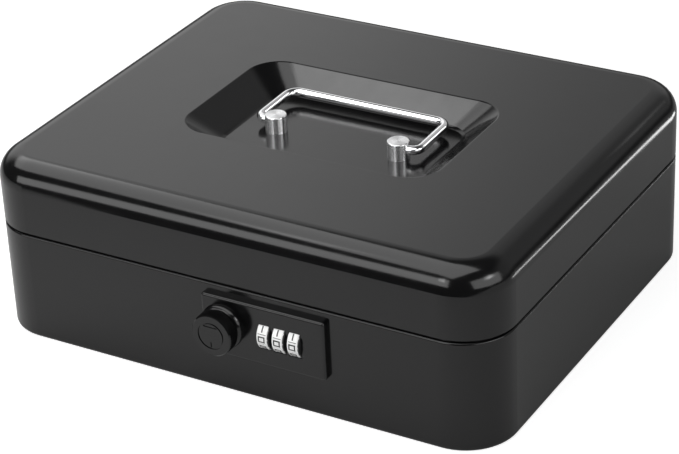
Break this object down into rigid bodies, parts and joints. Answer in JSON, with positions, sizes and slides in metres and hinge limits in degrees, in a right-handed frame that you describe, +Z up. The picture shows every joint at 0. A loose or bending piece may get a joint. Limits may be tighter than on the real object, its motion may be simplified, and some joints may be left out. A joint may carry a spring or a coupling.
{
  "type": "cash box",
  "caption": "Low steel cash box with rounded lid, recessed wire carry handle, combination lock with number wheels and latch knob, rear hinges and lift-out coin tray.",
  "frame": {"origin": "centre of the base's underside, between the four walls", "axes": "+X to the right of the lock, front with the lock at -Y, +Z up"},
  "size_m": [0.25, 0.2213, 0.085],
  "materials": {
    "black_paint": "semi-gloss black stove paint, faint orange peel",
    "inside_paint": "satin black paint",
    "lock_black": "satin black lacquer on die-cast metal",
    "chrome": "bright chrome plate",
    "steel": "bright zinc plate",
    "hinge_steel": "satin black paint, worn at the knuckles",
    "spring_steel": "polished spring steel",
    "zinc": "die-cast, unpainted",
    "brass": "turned",
    "wheel_white": "ivory white, moulded",
    "wheel_black": "moulded",
    "tray_black": "moulded, fine texture"
  },
  "bodies": {
    "case": {"tray_ledge_left": "inside_paint", "tray_ledge_right": "inside_paint", "body_shell": "black_paint", "lock_faceplate": "lock_black", "knob_collar": "lock_black", "lock_case": "zinc", "lock_back_cover": "steel", "lock_screws": "steel", "detent_spring": "spring_steel", "rod_spring": "spring_steel", "hinge_body_leaf_left": "hinge_steel", "hinge_pin_left": "hinge_steel", "hinge_body_leaf_right": "hinge_steel", "hinge_pin_right": "hinge_steel"},
    "lid": {"lid_shell": "black_paint", "handle_post_left": "chrome", "handle_post_right": "chrome", "post_washers": "steel", "post_nuts": "steel", "striker_bracket": "inside_paint", "striker_pin": "steel", "hinge_lid_leaf_left": "hinge_steel", "hinge_lid_leaf_right": "hinge_steel"},
    "handle": {"handle_bail": "chrome"},
    "knob": {"knob_cap": "lock_black", "knob_spindle": "steel", "snail_cam": "zinc", "latch_cam": "steel", "cam_washer": "steel", "cam_nut": "steel"},
    "wheel_1": {"number_ring_1": "wheel_white", "wheel_hub_1": "wheel_black"},
    "wheel_2": {"number_ring_2": "wheel_white", "wheel_hub_2": "wheel_black"},
    "wheel_3": {"number_ring_3": "wheel_white", "wheel_hub_3": "wheel_black"},
    "code_rod": {"code_rod": "brass"},
    "change_lever": {"code_change_lever": "steel"},
    "tray": {"coin_tray": "tray_black"}
  },
  "joints": [
    {"name": "lid_hinge", "type": "hinge", "parent": "case", "child": "lid", "pos_m": [0, 0.10355, 0.0525], "axis": [-1, 0, 0], "range_deg": [0, 100]},
    {"name": "handle_swing", "type": "hinge", "parent": "lid", "child": "handle", "pos_m": [0, -0.0051, 0.0786], "axis": [1, 0, 0], "range_deg": [-5, 170]},
    {"name": "knob_turn", "type": "hinge", "parent": "case", "child": "knob", "pos_m": [0, -0.106, 0.034], "axis": [0, -1, 0], "range_deg": [0, 90]},
    {"name": "code_rod_slide", "type": "slide", "parent": "case", "child": "code_rod", "axis": [-1, 0, 0], "range_m": [0, 0.0034]},
    {"name": "change_lever_slide", "type": "slide", "parent": "case", "child": "change_lever", "axis": [1, 0, 0], "range_m": [0, 0.003]},
    {"name": "tray_lift", "type": "slide", "parent": "case", "child": "tray", "axis": [0, 0, 1], "range_m": [0, 0.007]},
    {"name": "wheel_1_spin", "type": "hinge", "parent": "case", "child": "wheel_1", "pos_m": [0.0207, -0.1008, 0.034], "axis": [1, 0, 0], "continuous": true},
    {"name": "wheel_2_spin", "type": "hinge", "parent": "case", "child": "wheel_2", "pos_m": [0.0281, -0.1008, 0.034], "axis": [1, 0, 0], "continuous": true},
    {"name": "wheel_3_spin", "type": "hinge", "parent": "case", "child": "wheel_3", "pos_m": [0.0355, -0.1008, 0.034], "axis": [1, 0, 0], "continuous": true}
  ],
  "couplings": [
    {"joint": "code_rod_slide", "follows": "knob_turn", "m_per_rad": 0.0021645}
  ]
}
